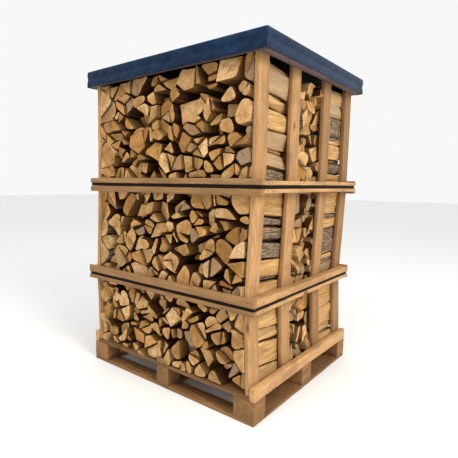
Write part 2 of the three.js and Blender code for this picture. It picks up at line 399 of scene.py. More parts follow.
def nail_wire(n):
    """Dull wire nail heads with a little rust."""
    rust = n.noise(n.position(), (240.0, 240.0, 240.0), detail=4.0)
    colour = n.mix(n.band(rust, 0.42, 0.6), (0.1, 0.07, 0.05), (0.09, 0.04, 0.018))
    n.shade(colour, n.band(rust, 0.3, 0.7, 0.4, 0.8), metallic=0.3)


def pale_floor(n, colour):
    cloud = n.noise(n.position(), (3.0, 3.0, 3.0), detail=4.0)
    n.shade(n.mix(n.band(cloud, 0.3, 0.7), colour, scaled(colour, 0.985)), 0.9)


# -------------------------------------------------------------- mesh helpers


class Pile:
    """Points and faces of one piece as they are added, with what its finish reads: a place in the
    wood for each point, and a tone, which is one number or three."""

    def __init__(self, place_name, tone_type="FLOAT"):
        self.points, self.faces, self.zones = [], [], []
        self.places, self.tones = [], []
        self.place_name, self.tone_type = place_name, tone_type

    def add(self, points, faces, zones, places, tone):
        start = sum(len(p) for p in self.points)
        self.points.append(points)
        self.places.append(places)
        self.tones.append(np.tile(np.atleast_1d(tone), (len(points), 1)))
        self.faces.extend([tuple(start + i for i in face) for face in faces])
        self.zones.extend(zones)

    def piece(self, name, materials, slot, *replaced, tier=None):
        """Makes the object, lets it ride on the crate and stand for CAD nodes."""
        mesh = bpy.data.meshes.new(name)
        points = np.concatenate(self.points)
        if tier:
            points[:, 0] += stack_shift(tier, points[:, 2])
        mesh.from_pydata(points.tolist(), [], self.faces)
        mesh.polygons.foreach_set("material_index", self.zones)
        place = mesh.attributes.new(self.place_name, "FLOAT_VECTOR", "POINT")
        place.data.foreach_set("vector", np.concatenate(self.places).astype(np.float32).ravel())
        tone = mesh.attributes.new("tone", self.tone_type, "POINT")
        tones = np.concatenate(self.tones).astype(np.float32).ravel()
        tone.data.foreach_set("value" if self.tone_type == "FLOAT" else "vector", tones)
        mesh.shade_smooth()
        mesh.set_sharp_from_angle(angle=SMOOTH_BELOW)
        mesh.validate()
        return place_piece(mesh, name, materials, slot, *replaced)


def stack_shift(tier, z):
    """How far the stack stands to the side at a height in a tier."""
    low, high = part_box(f"tier_{tier}_post_left_1")
    return np.interp(z, [low.z, high.z], STACK_SHIFT[tier - 1:tier + 1])


def upright_box(node, tier):
    """The box of a CAD node that leans with its tier, as it is before it leans."""
    low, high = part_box(node)
    foot, top = STACK_SHIFT[tier - 1:tier + 1]
    return Vector((low.x - min(foot, top), low.y, low.z)), Vector((high.x - max(foot, top), high.y, high.z))


def place_piece(mesh, name, materials, slot, *replaced):
    for material in materials:
        mesh.materials.append(material)
    piece = bpy.data.objects.new(name, mesh)
    bpy.context.scene.collection.objects.link(piece)
    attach(piece, BODY)
    if replaced:
        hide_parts(*replaced)
    return piece


def tube_faces(count, rows):
    """Quads round a tube of rows rings of count points each."""
    faces = []
    for row in range(rows - 1):
        for i in range(count):
            j = (i + 1) % count
            faces.append((row * count + i, row * count + j, (row + 1) * count + j, (row + 1) * count + i))
    return faces


# -------------------------------------------------------------- sawn timber


def board_section(half_y, half_z, edge):
    """Points round a board's section, and how much each one wears: 1 at the edges, 0 on the faces."""
    points, wear = [], []
    corners = [(1, -1, -90), (1, 1, 0), (-1, 1, 90), (-1, -1, 180)]
    for k, (sy, sz, start) in enumerate(corners):
        centre = np.array([sy * (half_y - edge), sz * (half_z - edge)])
        for step in (0, 45, 90):
            turn = math.radians(start + step)
            points.append(centre + edge * np.array([math.cos(turn), math.sin(turn)]))
            wear.append(1.0)
        ny, nz, _ = corners[(k + 1) % 4]
        following = np.array([ny * (half_y - edge), nz * (half_z - edge)])
        turn = math.radians(start + 90)
        outward = edge * np.array([math.cos(turn), math.sin(turn)])
        for share in (0.33, 0.67):
            points.append(centre + share * (following - centre) + outward)
            wear.append(0.0)
    return np.array(points), np.array(wear)


AXES = {"X": (0, 1, 2), "Y": (1, 2, 0), "Z": (2, 0, 1)}
RING_STEP = 0.045  # along a board, from one ring of points to the next
MIDDLING = 0.45  # the tone of a board that is neither dark nor fresh


def add_timber(pile, low, high, axis, rng, tone):
    """One sawn board between two corners, lying along axis, with worn edges and a slight bow."""
    s = bpy.context.scene.crate_timber
    order = AXES[axis]
    low, high = np.array(low), np.array(high)
    size = (high - low)[list(order)]
    edge = min(s.edge * rng.uniform(0.7, 1.3), 0.3 * min(size[1:]))
    section, wear = board_section(size[1] / 2, size[2] / 2, edge)
    rows = max(4, int(size[0] / RING_STEP))
    inner = np.linspace(-size[0] / 2 + edge, size[0] / 2 - edge, rows)
    along = np.concatenate([[-size[0] / 2], inner, [size[0] / 2]])
    bow = rng.normal(0, s.bow * 0.5, 2) * min(1.0, size[0] / 0.6)
    points, grain = [], []
    pith = rng.uniform(0.02, 0.11, 2) * rng.choice([-1, 1], 2)
    lean = rng.normal(0, 0.035, 2)
    offset = rng.uniform(0, 30)
    for k, x in enumerate(along):
        chip = 1 - wear * np.abs(rng.normal(0, 0.35, len(wear))) * edge / np.linalg.norm(section, axis=1)
        ring = section * chip[:, None]
        if k in (0, len(along) - 1):
            ring = ring * (1 - edge / np.maximum(np.abs(section).max(0), edge * 2))
        ring = ring + bow * (1 - (2 * x / size[0]) ** 2 - 0.5)
        points.append(np.column_stack([np.full(len(ring), x), ring]))
        grain.append(np.column_stack([np.full(len(ring), x + offset), ring + pith + lean * x]))
    points, grain = np.concatenate(points), np.concatenate(grain)
    count = len(section)
    faces = tube_faces(count, len(along))
    faces.append(tuple(range(count))[::-1])
    faces.append(tuple(range(len(points) - count, len(points))))
    world = np.empty_like(points)
    centre = (low + high) / 2
    for i, target in enumerate(order):
        world[:, target] = points[:, i] + centre[target]
    pile.add(world, faces, [0] * len(faces), grain, float(np.clip(tone + rng.normal(0, 0.1), 0, 1)))


def timber_piece(name, node, axis, wood, slot, seed, part=None, tier=None, tone=MIDDLING):
    """A board that stands for a CAD node, or for the part of it between two corners."""
    low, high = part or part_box(node)
    pile = Pile("grain")
    add_timber(pile, low, high, axis, np.random.default_rng(seed), tone)
    return pile.piece(name, [wood], slot, node, tier=tier)


CLEAT_THICK, CLEAT_HIGH = 0.02, 0.024


def build_pallet():
    """Bottom boards, blocks and deck, the side beams, and a cleat along the front of the deck."""
    wood = pallet_finish()
    boards = [(f"{place}_bottom_board", f"bottom_board_{place}", "X", 0.12) for place in ("front", "back")]
    for place in ("left", "centre", "right"):
        boards.append((f"{place}_bottom_board", f"bottom_board_{place}", "Y", 0.2))
        boards += [(f"{row}_{place}_block", f"block_{row}_{place}", "Y", MIDDLING) for row in BLOCK_ROWS]
    boards += [(f"deck_{i}", f"deck_board_{i}", "X", 0.0) for i in (1, 2, 3, 4)]
    seed = 100
    for name, node, axis, tone in boards:
        timber_piece(name, node, axis, wood, "pallet_wood", seed, tone=tone)
        seed += 1
    for place in SIDES:
        timber_piece(f"{place}_beam", f"side_beam_{place}", "Y", pine_finish(), "pine", seed, tone=0.9)
        seed += 1
    low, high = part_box("block_front_centre")
    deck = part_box("deck_board_1")[1].z
    cleat = (low.x, low.y, deck), (high.x, low.y + CLEAT_THICK, deck + CLEAT_HIGH)
    timber_piece("front_cleat", "deck_board_1", "X", wood, "pallet_wood", seed, cleat)


POST_TONES = (0.55, 0.52, 0.14, 0.0)  # front to back


def build_posts():
    pine = pine_finish()
    for tier in TIERS:
        for place in SIDES:
            for i, tone in enumerate(POST_TONES, 1):
                node = f"tier_{tier}_post_{place}_{i}"
                seed = 200 + tier * 20 + i + (10 if place == "left" else 0)
                corners = upright_box(node, tier)
                timber_piece(f"post_{tier}_{place}_{i}", node, "Z", pine, "pine", seed, corners, tier, tone)


# Each ring of rails: the height of its side rails, and the height of the dark strip below it
RINGS = {
    "tier_1_top_rails": (0.018, 0),
    "tier_2_bottom_rails": (0.034, 0.0167),
    "tier_2_top_rails": (0.019, 0),
    "tier_3_bottom_rails": (0.02, 0.0167),
    "tier_3_top_rails": (0.031, 0),
}
# front and back rails are darker than the side rails: painted shade of the crate's front face
RAIL_TONES = {"front": 0.12, "back": 0.12, "left": 0.72, "right": 0.72}
RAIL_FRONT, RAIL_SIDE = 0.022, 0.045  # how thick the rails are
STRIP_INSET = 0.005
JOIN = 0.0003  # between pieces that touch


def four_sides(low, high, front, side):
    """The four bars of a ring between two corners: their names, axes and corners."""
    front_in, back_in = low.y + front, high.y - front
    yield "front", "X", (low.x, low.y, low.z), (high.x, front_in, high.z)
    yield "back", "X", (low.x, back_in, low.z), (high.x, high.y, high.z)
    yield "left", "Y", (low.x, front_in + JOIN, low.z), (low.x + side, back_in - JOIN, high.z)
    yield "right", "Y", (high.x - side, front_in + JOIN, low.z), (high.x, back_in - JOIN, high.z)


def build_rails():
    """The rings of rails, and the dark strip under each ring that stands on a joint."""
    for k, (node, (side_height, strip)) in enumerate(RINGS.items()):
        low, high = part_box(node)
        low.z += strip
        # the top ring gets the painted shade of the lid's underside
        wood = lid_shade_finish() if node == "tier_3_top_rails" else pine_finish()
        for i, (place, axis, a, b) in enumerate(four_sides(low, high, RAIL_FRONT, RAIL_SIDE)):
            if axis == "Y" and strip:
                b = (b[0], b[1], a[2] + side_height)
            elif axis == "Y":
                a = (a[0], a[1], b[2] - side_height)
            name = node.replace("rails", f"rail_{place}")
            timber_piece(name, node, axis, wood, "pine", 300 + 10 * k + i, (a, b), tone=RAIL_TONES[place])
        if strip:
            build_strip(node, low, high, strip)


def build_strip(node, low, high, height):
    """The dark strip in a joint, set back from the rails above and below it. Its near-black colour also
    paints the deep shade of that recess.
    """
    inset = Vector((STRIP_INSET, STRIP_INSET, 0))
    a, b = low + inset, high - inset
    a.z, b.z = low.z - height, low.z
    pile = Pile("grain")
    rng = np.random.default_rng(int(1000 * low.z))
    for _, axis, c, d in four_sides(a, b, RAIL_FRONT - STRIP_INSET, RAIL_SIDE - STRIP_INSET):
        add_timber(pile, c, d, axis, rng, 0.5)
    # partly painted shade: the strip's near-black colour stands for the deep shade in the joint
    dark = finish("joint_strip", dark_facing, bpy.context.scene.crate_lid.strip, 0.8)
    pile.piece(node.replace("bottom_rails", "joint_strip"), [dark], "dark_film", node)


def build_panel():
    """The lid panel: one thick sheet, faced in a dark colour."""
    pile = Pile("grain")
    add_timber(pile, *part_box("lid_panel"), "X", np.random.default_rng(400), 0.5)
    dark = finish("faced_panel", dark_facing, bpy.context.scene.crate_lid.panel, 0.6)
    pile.piece("lid_board", [dark], "dark_film", "lid_panel")


# -------------------------------------------------------------------- nails

NAIL_SIDES = 10
NAIL_SHAPE = ((1.0, -0.001), (1.0, 0.0006), (0.62, 0.0013))  # share of the radius, height off the wood
NAIL_PAIR = (0.3, 0.7)  # places across a post or a block
BEAM_NAILS = 9


def add_nail(pile, place, outward):
    """A low domed nail head on a face that looks along outward."""
    radius = bpy.context.scene.crate_timber.nail
    outward = np.array(outward, float)
    u = np.array([0, 0, 1.0]) if abs(outward[2]) < 0.5 else np.array([1.0, 0, 0])
    v = np.cross(outward, u)
    turns = np.linspace(0, 2 * math.pi, NAIL_SIDES + 1)[:-1]
    points = np.array([
        np.array(place) + outward * lift + radius * share * (math.cos(t) * u + math.sin(t) * v)
        for share, lift in NAIL_SHAPE for t in turns])
    faces = tube_faces(NAIL_SIDES, len(NAIL_SHAPE))
    faces.append(tuple(range(len(points) - NAIL_SIDES, len(points))))
    faces.append(tuple(range(NAIL_SIDES))[::-1])
    pile.add(points, faces, [0] * len(faces), points, 0.5)


def add_nail_pair(pile, node, x, z, uneven, sign, rng):
    """Two nails in line with a post or a block, at x and near a height."""
    low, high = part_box(node)
    for share in NAIL_PAIR:
        y = low.y + share * (high.y - low.y) + rng.normal(0, 0.004)
        add_nail(pile, (x, y, z + rng.normal(0, uneven)), (sign, 0, 0))


def build_nails():
    """Nail heads where rails meet posts, along the beams and on the blocks."""
    rng = np.random.default_rng(500)
    pile = Pile("grain")
    for node, (side_height, strip) in RINGS.items():
        low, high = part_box(node)
        joint = low.z + strip if strip else high.z
        upward = 1 if strip else -1
        for sign, x in ((-1, low.x), (1, high.x)):
            for i in range(1, len(POST_TONES) + 1):
                height = joint + upward * side_height / 2
                add_nail_pair(pile, f"tier_1_post_right_{i}", x, height, 0.002, sign, rng)
            for face, y in ((-1, low.y), (1, high.y)):
                z = (joint + (high.z if strip else low.z)) / 2
                add_nail(pile, (x - sign * rng.uniform(0.02, 0.05), y, z), (0, face, 0))
    for place, sign in SIDES.items():
        low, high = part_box(f"side_beam_{place}")
        for y in np.linspace(low.y + 0.03, high.y - 0.03, BEAM_NAILS):
            x = (low.x + high.x) / 2 + rng.normal(0, 0.004)
            add_nail(pile, (x, y + rng.normal(0, 0.012), high.z), (0, 0, 1))
        outer = high.x if sign > 0 else low.x
        for row in BLOCK_ROWS:
            add_nail_pair(pile, f"block_{row}_{place}", outer, low.z + 0.026, 0.005, sign, rng)
    pile.piece("nail_heads", [finish("nail_head", nail_wire)], "nail_steel")


# ----------------------------------------------------------- log cross-sections
# A cell is a convex outline: a list of (corner, mark), where mark says what the edge after
# that corner is: "outer" for the outside of a round, "cut" for a face split through it.

NEIGHBOURS = 21  # how many of the nearest seeds bound a cell
SPLIT_WAYS = (0.2, 0.5, 0.24, 0.06)  # how often a round gives one, two, three and four logs
SPLIT_TRIES = 6
LEAST_STOUT = 0.04  # area over perimeter squared: a square has 0.0625
LEAST_AREA = 0.0008
TOUCHING = 1e-6
ROUND_CORNER, CRISP_CORNER = (0.018, 0.04), (0.002, 0.007)  # how far back a corner is rounded
CORNER_SHARE = 0.47  # the most of an edge that one corner takes up
CORNER_REST = 0.02  # left free for the next corner


def clip(cell, normal, limit, mark):
    """Keeps the part of a cell where point . normal <= limit."""
    kept = []
    for i, (a, edge) in enumerate(cell):
        b = cell[(i + 1) % len(cell)][0]
        da, db = a @ normal - limit, b @ normal - limit
        if da <= 0:
            kept.append((a, edge))
        if (da <= 0) != (db <= 0):
            kept.append((a + (b - a) * (da / (da - db)), mark if da <= 0 else edge))
    return kept


def corners_of(cell):
    """The corners of a cell, and for each one the corner that follows it."""
    p = np.array([corner for corner, _ in cell])
    return p, np.roll(p, -1, axis=0)


def area_of(cell):
    p, q = corners_of(cell)
    return 0.5 * float(np.sum(p[:, 0] * q[:, 1] - q[:, 0] * p[:, 1]))


def middle_of(cell):
    p, q = corners_of(cell)
    cross = p[:, 0] * q[:, 1] - q[:, 0] * p[:, 1]
    return ((p + q) * cross[:, None]).sum(0) / (3 * cross.sum())


def is_stout(cell):
    """Whether a log is thick enough for its width."""
    p, q = corners_of(cell)
    return area_of(cell) > LEAST_STOUT * np.linalg.norm(q - p, axis=1).sum() ** 2


def cells_around(seeds, weights, low, high):
    """Shares a rectangle among the seeds: heavier ones get larger cells."""
    rectangle = [(np.array(p, float), "outer") for p in
                 ((low[0], low[1]), (high[0], low[1]), (high[0], high[1]), (low[0], high[1]))]
    cells = []
    for i, seed in enumerate(seeds):
        cell = list(rectangle)
        for j in np.argsort(((seeds - seed) ** 2).sum(1))[1:NEIGHBOURS + 1]:
            limit = (seeds[j] @ seeds[j] - seed @ seed - weights[j] + weights[i]) / 2
            cell = clip(cell, seeds[j] - seed, limit, "outer")
            if len(cell) < 3:
                break
        if len(cell) >= 3:
            cells.append(cell)
    return cells


def scatter(low, high, spacing, rng):
    """Seeds for rounds: one in each place of a staggered grid, then moved about."""
    width, height = high[0] - low[0], high[1] - low[1]
    rows = max(1, round(height / (spacing * 0.9)))
    seeds = []
    for r in range(rows):
        columns = max(1, round(width / spacing + rng.uniform(-0.5, 0.5)))
        for c in range(columns):
            x = (c + 0.5 + 0.25 * (-1) ** r + rng.uniform(-0.38, 0.38)) / columns
            y = (r + 0.5 + rng.uniform(-0.44, 0.44)) / rows
            seeds.append((low[0] + x * width, low[1] + y * height))
    return np.array(seeds)


def jostle(cell, rng, turn, squeeze):
    """Turns a log a little in its place and makes it a little smaller."""
    centre = middle_of(cell)
    angle, scale = rng.normal(0, turn), rng.uniform(1 - squeeze, 1.0)
    c, s = math.cos(angle) * scale, math.sin(angle) * scale
    turned = np.array([[c, -s], [s, c]])
    return [(centre + turned @ (corner - centre), mark) for corner, mark in cell]


def split_round(cell, rng):
    """Splits a round into one to four logs, as an axe does, and leaves it whole if they come out thin."""
    for _ in range(SPLIT_TRIES):
        logs = split_once(cell, rng)
        if logs and all(is_stout(log) for log in logs):
            return logs
    return [cell]


def split_once(cell, rng):
    """Splits a round once, along lines from a point near its middle."""
    ways = rng.choice([1, 2, 3, 4], p=SPLIT_WAYS)
    centre = middle_of(cell) + rng.normal(0, 0.012, 2)
    turn = rng.uniform(0, 2 * math.pi)
    if ways == 1:
        return [cell]
    turns = turn + 2 * math.pi * np.sort(rng.dirichlet([6.0] * ways).cumsum())
    if ways == 2:
        turns = np.array([turn, turn + math.pi + rng.normal(0, 0.12)])
    logs = []
    for a, b in zip(turns, np.roll(turns, -1)):
        right = np.array([math.sin(a), -math.cos(a)])
        left = np.array([-math.sin(b), math.cos(b)])
        log = clip(cell, right, right @ centre, "cut")
        if ways > 2 and len(log) >= 3 and (b - a) % (2 * math.pi) < math.pi:
            log = clip(log, left, left @ centre, "cut")
        if len(log) >= 3 and area_of(log) > LEAST_AREA:
            logs.append(log)
    return logs


def shrink(cell, gap):
    """Moves every edge in by gap."""
    shrunk = list(cell)
    for i, (a, mark) in enumerate(cell):
        edge = cell[(i + 1) % len(cell)][0] - a
        length = np.linalg.norm(edge)
        if length < TOUCHING:
            continue
        normal = np.array([edge[1], -edge[0]]) / length
        shrunk = clip(shrunk, normal, a @ normal - gap, mark)
        if len(shrunk) < 3:
            return []
    return shrunk


def drop_corners(cell, most):
    """Cuts off the flattest corners until at most so many are left."""
    cell = list(cell)
    while len(cell) > most:
        p, following = corners_of(cell)
        before, after = np.roll(p, 1, axis=0) - p, following - p
        size = np.abs(before[:, 0] * after[:, 1] - before[:, 1] * after[:, 0])
        del cell[int(size.argmin())]
    return cell


def outline_of(cell, rng, fineness):
    """A log's outline: cut corners stay crisp, and outer ones are rounded. Returns points and marks."""
    points, marks = [], []
    for i, (corner, mark) in enumerate(cell):
        before, mark_before = cell[i - 1]
        after = cell[(i + 1) % len(cell)][0]
        back, ahead = before - corner, after - corner
        length_back, length_ahead = np.linalg.norm(back), np.linalg.norm(ahead)
        outer = mark == "outer" and mark_before == "outer"
        reach = rng.uniform(*(ROUND_CORNER if outer else CRISP_CORNER))
        most = CORNER_SHARE * length_ahead
        start = corner + back / length_back * min(reach, CORNER_SHARE * length_back)
        end = corner + ahead / length_ahead * min(reach, most)
        for share in ((0, 0.25, 0.5, 0.75, 1) if outer else (0, 0.5, 1)):
            points.append((1 - share) ** 2 * start + 2 * share * (1 - share) * corner + share ** 2 * end)
            marks.append(mark_before if share < 0.5 else mark)
        rest = min(CORNER_REST, most)
        extra = int((length_ahead - min(reach, most) - rest) / fineness)
        target = after + (corner - after) / length_ahead * rest
        for step in range(1, extra + 1):
            points.append(end + (target - end) * step / (extra + 1))
            marks.append(mark)
    return np.array(points), marks


# --------------------------------------------------------------------- logs

END, SPLIT, BARK = 0, 1, 2  # which finish a face has
FINE, COARSE = (0.016, 7), (0.05, 3)  # a log's outline step, and its rings of points along it
BARK_SHARE, SHOWN_BARK_SHARE = 0.72, 0.42  # how many logs keep their bark
BARK_DEPTH, SHOWN_DEPTH, INNER_DEPTH = 0.003, 0.0034, 0.0022  # how uneven a log's sides are
BEVEL = 0.0018  # worn edge of a sawn end
END_RINGS = ((1.0, 0.0016), (0.72, 0), (0.38, 0))  # share of the outline, and how far it is set in


def soft_random(rng, rows, columns):
    """Smooth random values on a grid that closes round its rows."""
    coarse_rows, coarse_columns = max(4, rows // 4), max(2, columns // 2)
    coarse = rng.normal(0, 1, (coarse_rows, coarse_columns))
    r = np.arange(rows) * coarse_rows / rows
    c = np.arange(columns) * (coarse_columns - 1) / max(1, columns - 1)
    r0, c0 = r.astype(int), np.minimum(c.astype(int), coarse_columns - 2)
    fr = (r - r0)[:, None]
    fc = (c - c0)[None, :]
    r1 = (r0 + 1) % coarse_rows
    top = coarse[r0][:, c0] * (1 - fc) + coarse[r0][:, c0 + 1] * fc
    bottom = coarse[r1][:, c0] * (1 - fc) + coarse[r1][:, c0 + 1] * fc
    return top * (1 - fr) + bottom * fr


def find_pith(cell, centre, rng):
    """Where the growth rings of a log meet: where it was split, or near its middle."""
    cuts = [(a + cell[(i + 1) % len(cell)][0]) / 2 for i, (a, mark) in enumerate(cell) if mark == "cut"]
    if len(cuts) > 1:
        shared = [a for i, (a, mark) in enumerate(cell) if mark == "cut" and cell[i - 1][1] == "cut"]
        return shared[0] if shared else np.mean(cuts, axis=0)
    if cuts:
        return cuts[0] + (centre - cuts[0]) * rng.uniform(-0.2, 0.3)
    return centre + rng.normal(0, 0.008, 2)


def add_log(pile, cell, length, start, to_world, rng, fine=True, tilt=0.02, droop=0.0, shown=False,
            lid_shade_lift=1.0):
    """One split log: its outline drawn along its length, with torn faces, bark and two sawn ends.

    to_world turns (across, up, along) into a place, and says whether that turns faces inside
    out; along runs from start over length. droop lowers the far end, the split faces and bark
    of logs that are not shown get a painted shade, and with a higher value of the last argument
    fewer logs are aged, which paints the lower tiers paler than the top tier, left darker as painted shade
    under the lid."""
    fineness, rows = FINE if fine else COARSE
    outline, marks = outline_of(cell, rng, fineness)
    count = len(outline)
    centre = outline.mean(0)
    has_bark = rng.random() < (SHOWN_BARK_SHARE if shown else BARK_SHARE)
    pith = find_pith(cell, centre, rng)
    edges = np.roll(outline, -1, axis=0) - np.roll(outline, 1, axis=0)
    normals = np.column_stack([edges[:, 1], -edges[:, 0]])
    normals /= np.maximum(np.linalg.norm(normals, axis=1), 1e-9)[:, None]
    swell = soft_random(rng, count, rows)
    torn = SHOWN_DEPTH if shown else INNER_DEPTH
    depth = np.array([BARK_DEPTH if m == "outer" and has_bark else torn for m in marks])
    crush = rng.normal(0, 0.0014, (count, rows))
    for _ in range(rng.integers(0, 3)):
        away = (np.arange(count) - rng.integers(count) + count / 2) % count - count / 2
        bite = rng.uniform(0.002, 0.011) * np.exp(-(away / rng.uniform(0.8, 2.2)) ** 2)
        crush -= 2 * bite[:, None] * np.linspace(1, rng.uniform(0.2, 1), rows)
    lean = rng.normal(0, tilt, 2) - np.array([0, droop])
    bend = rng.normal(0, 0.005, 2)
    taper = rng.normal(0, 0.05)
    cut_lean = rng.normal(0, 0.11, (2, 2))

    def section(along, shape, end):
        """A ring of points, bent with the log and slanted near its sawn ends."""
        share = along / length - 0.5
        moved = centre + (shape - centre) * (1 + taper * share)
        moved = moved + lean * (share * length) + bend * (0.25 - share ** 2)
        fade = max(0.0, 1 - 4 * min(share + 0.5, 0.5 - share))
        slant = (shape - centre) @ cut_lean[end] * fade
        return np.column_stack([moved, np.full(len(moved), along) + slant])

    stations = np.concatenate([[BEVEL], np.linspace(0, length, rows)[1:-1], [length - BEVEL]])
    points = []
    for row, along in enumerate(stations):
        shape = outline + normals * (swell[:, row] * depth + crush[:, row] * 0.5)[:, None]
        points.append(section(along, shape, 0 if row < rows / 2 else 1))
    faces = tube_faces(count, rows)
    sides = [BARK if m == "outer" and has_bark else SPLIT for m in marks]
    zones = sides * (rows - 1)
    total = rows * count
    for along, end in ((0.0, 0), (length, 1)):
        shape = outline + normals * (swell[:, -end] * depth)[:, None]
        radii = np.linalg.norm(shape - centre, axis=1)[:, None]
        previous = end * (rows - 1) * count
        turn = 1 if end else -1
        for k, (share, inset) in enumerate(END_RINGS if fine else END_RINGS[:1]):
            ring = section(along, centre + (shape - centre) * share * (1 - inset / radii), end)
            if k:
                ring[:, 2] += rng.normal(0, 0.0006, count)
            points.append(ring)
            for i in range(count):
                j = (i + 1) % count
                faces.append((previous + i, previous + j, total + j, total + i)[::turn])
            zones.extend([END] * count if k else sides)
            previous = total
            total += count
        points.append(section(along, centre[None, :], end))
        for i in range(count):
            faces.append((previous + i, previous + (i + 1) % count, total)[::turn])
        zones.extend([END] * count)
        total += 1
    local = np.concatenate(points)
    ring_place = local - np.array([pith[0], pith[1], -rng.uniform(0, 20)])
    world, mirrored = to_world(local + np.array([0, 0, start]))
    if mirrored:
        faces = [face[::-1] for face in faces]
    # the exponent leaves more aged, darker ends in the top tier: painted shade under the lid
    aged, orange = rng.uniform(0, 1) ** lid_shade_lift, rng.beta(1.3, 1.9)
    # logs that are not shown get a low seed, and with it a painted shade on their sides
    seed = rng.uniform(0.52, 1) if shown else rng.uniform(0, 0.48)
    pile.add(world, faces, zones, ring_place, (aged, orange, seed))


# --------------------------------------------------------------- rows of logs

SNUG = 0.08  # width of the strips where logs lie close, so that no light shows between them
SNUG_BACK = 0.2  # the same on the right of the back row
SNUG_GAP = 0.0013
PILE_RISE = 0.008  # how far the top logs reach above their row in the top tier
NEAR_RAIL, NEAR_SIDE, NEAR_POST = 0.06, 0.045, 0.03  # from the edges of a row
MOST_OUT, MOST_IN = 0.018, 0.1  # how far a log end stands out of its row or back in it
RANKS = 3  # logs end to end across the middle row
RANK_GAP = 0.004


def stack_cells(low, high, spacing, gap, rng, loose=(0.0, 0.0), snug=(0.0, 0.0), turn=0.06, squeeze=0.11):
    """Log sections that fill a rectangle, each turned a little and with space round it.

    loose says how uneven the left and the right side of the stack are, and snug how wide a
    strip at each side holds logs that lie close together."""
    seeds = scatter(low, high, spacing, rng)
    weights = rng.uniform(-0.32, 0.32, len(seeds)) * spacing ** 2
    logs = []
    for cell in cells_around(seeds, weights, low, high):
        for log in split_round(cell, rng):
            log = loosen_side(log, low, high, rng, loose)
            if len(log) < 3:
                continue
            middle = middle_of(log)[0]
            close = middle < low[0] + snug[0] or middle > high[0] - snug[1]
            log = shrink(log, SNUG_GAP if close else gap * rng.uniform(0.7, 2.0))
            if len(log) >= 3 and not close:
                log = shape_log(log, rng, turn, squeeze)
            if len(log) >= 3 and (close or area_of(log) > LEAST_AREA):
                logs.append(log)
    return logs


def shape_log(log, rng, turn, squeeze):
    """Gives a log few corners, as a split one has, and turns it in its place."""
    whole = all(mark == "outer" for _, mark in log)
    if whole and rng.random() < 0.6:
        log = [(corner, "cut") for corner, _ in drop_corners(log, rng.integers(4, 6))]
    else:
        log = drop_corners(log, rng.integers(3, 7))
    return jostle(log, rng, turn, squeeze)


def loosen_side(cell, low, high, rng, loose):
    """Tilts and sets back a face that lies against the side of the stack."""
    for sign, edge, depth in ((-1, low[0], loose[0]), (1, high[0], loose[1])):
        touching = [corner for corner, _ in cell if abs(corner[0] - edge) < TOUCHING]
        if len(touching) < 2 or depth <= 0:
            continue
        slope = rng.normal(0, 0.35)
        normal = np.array([sign * math.cos(slope), math.sin(slope)])
        reach = max(corner @ normal for corner, _ in cell)
        limit = reach - abs(rng.normal(0, depth))
        cell = clip(cell, normal, limit, "cut" if rng.random() < 0.65 else "outer")
        if len(cell) < 3:
            return []
    return cell


def build_long_rows(tier, finishes):
    """Front and back rows of one tier: logs lying front to back."""
    s = bpy.context.scene.crate_firewood
    for row, facing in (("front", 1), ("back", -1)):
        node = f"tier_{tier}_firewood_{row}"
        low, high = upright_box(node, tier)
        rng = np.random.default_rng(600 + 10 * tier + (facing < 0))
        pile = Pile("ring", "FLOAT_VECTOR")
        outer = low.y if facing > 0 else high.y
        loose = (0.004, 0.012) if facing > 0 else (0.004, 0.004)
        snug = (SNUG, 0.0) if facing > 0 else (SNUG, SNUG_BACK)
        spacing = s.round_size * (0.84 if tier == TIERS[0] else 1.0)
        top_up = PILE_RISE if tier == TIERS[-1] else 0.0

        def to_world(place):
            world = np.column_stack([place[:, 0], outer + facing * place[:, 2], place[:, 1]])
            return world, facing > 0

        flat_low, flat_high = (low.x, low.z), (high.x, high.z + top_up)
        for cell in stack_cells(flat_low, flat_high, spacing, s.gap, rng, loose, snug):
            across, heights = zip(*(corner for corner, _ in cell))
            behind_rail = tier > 1 and min(heights) < low.z + NEAR_RAIL or max(heights) > high.z - NEAR_RAIL
            beside_post = min(across) < low.x + NEAR_POST
            # logs away from the sides of the row are not shown, so their sides get a painted shade
            shown = max(across) > high.x - NEAR_SIDE or min(across) < low.x + NEAR_SIDE
            start = rng.normal(0.008, s.uneven)
            if rng.random() < 0.1 and not shown:
                start = rng.uniform(0.03, 0.1)
            start = float(np.clip(start, 0.004 if behind_rail or beside_post else -MOST_OUT, MOST_IN))
            length = high.y - low.y - start - rng.uniform(0.0, 0.018)
            droop = rng.normal(0.09, 0.02) if shown and facing > 0 and max(across) > 0 else 0.0
            # the top tier keeps more aged, darker log ends as painted shade under the lid; the tiers below
            # come out paler
            add_log(pile, cell, length, start, to_world, rng, tilt=0.015, droop=droop, shown=shown,
                    lid_shade_lift=1.0 if tier == TIERS[-1] else 1.5)
        pile.piece(f"logs_{tier}_{row}", finishes, "firewood", node, tier=tier)


